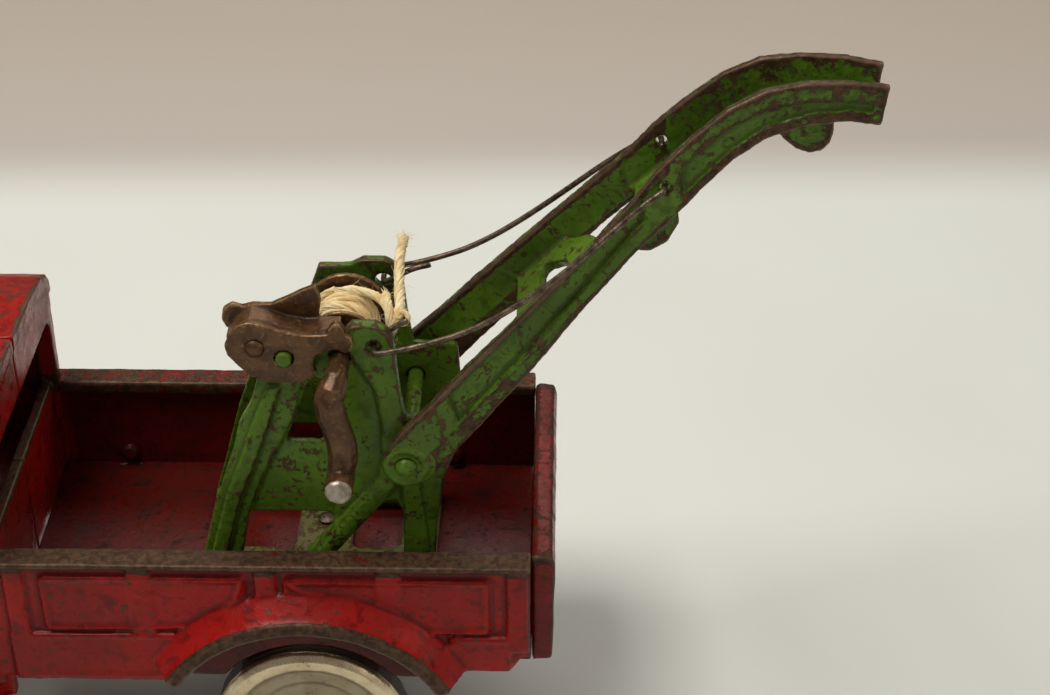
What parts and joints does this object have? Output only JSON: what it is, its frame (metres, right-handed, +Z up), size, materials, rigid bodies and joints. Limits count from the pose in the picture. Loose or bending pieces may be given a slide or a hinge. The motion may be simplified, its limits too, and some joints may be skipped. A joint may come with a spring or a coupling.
{
  "type": "toy tow truck",
  "caption": "Cast-iron toy tow truck with open bed, green crane and goose-neck boom on wire stays, string winch with crank and pawl lever, and four turning disc wheels.",
  "frame": {"origin": "centre of the truck's footprint on the surface its wheels stand on (string end left out)", "axes": "+X towards the rear, where the boom points; -Y the truck's left side, with the crank; +Z up"},
  "size_m": [0.2906, 0.0864, 0.1732],
  "materials": {
    "red_enamel": "old red enamel with worn brown edges",
    "green_enamel": "old green enamel with chips",
    "worn_iron": "green paint worn to the iron",
    "bronzed_iron": "bronzed cast iron, satin",
    "aged_steel": "aged steel wire and bar",
    "nickel_plate": "nickel plate, yellowed and pitted",
    "cotton": "cream cotton string"
  },
  "bodies": {
    "truck": {"body_left": "red_enamel", "body_right": "red_enamel", "bed_floor": "red_enamel", "tailgate": "red_enamel", "crane_base": "worn_iron", "crane_frame_left": "green_enamel", "crane_frame_right": "green_enamel", "boom": "green_enamel", "boom_pivot_rod": "bronzed_iron", "stay_left": "aged_steel", "stay_right": "aged_steel", "floor_screw_left": "aged_steel", "floor_screw_right": "aged_steel", "axle_front": "aged_steel", "axle_rear": "aged_steel", "string_tail": "cotton", "string_lead": "cotton", "string_knot": "cotton"},
    "winch": {"winch_drum": "bronzed_iron", "crank": "bronzed_iron", "string_winding": "cotton"},
    "pawl": {"pawl_lever": "bronzed_iron", "pawl_rivet": "bronzed_iron"},
    "wheel_front_left": {"wheel_front_left": "nickel_plate"},
    "wheel_front_right": {"wheel_front_right": "nickel_plate"},
    "wheel_rear_left": {"wheel_rear_left": "nickel_plate"},
    "wheel_rear_right": {"wheel_rear_right": "nickel_plate"}
  },
  "joints": [
    {"name": "winch_spin", "type": "hinge", "parent": "truck", "child": "winch", "pos_m": [0.0315, 0, 0.1106], "axis": [0, 1, 0], "continuous": true},
    {"name": "pawl_swing", "type": "hinge", "parent": "truck", "child": "pawl", "pos_m": [0.0199, -0.0172, 0.1124], "axis": [0, -1, 0], "range_deg": [0, 20]},
    {"name": "wheel_front_left_spin", "type": "hinge", "parent": "truck", "child": "wheel_front_left", "pos_m": [-0.0994, -0.0335, 0.0222], "axis": [0, 1, 0], "continuous": true},
    {"name": "wheel_front_right_spin", "type": "hinge", "parent": "truck", "child": "wheel_front_right", "pos_m": [-0.0994, 0.0335, 0.0222], "axis": [0, 1, 0], "continuous": true},
    {"name": "wheel_rear_left_spin", "type": "hinge", "parent": "truck", "child": "wheel_rear_left", "pos_m": [0.0226, -0.0335, 0.0222], "axis": [0, 1, 0], "continuous": true},
    {"name": "wheel_rear_right_spin", "type": "hinge", "parent": "truck", "child": "wheel_rear_right", "pos_m": [0.0226, 0.0335, 0.0222], "axis": [0, 1, 0], "continuous": true}
  ]
}
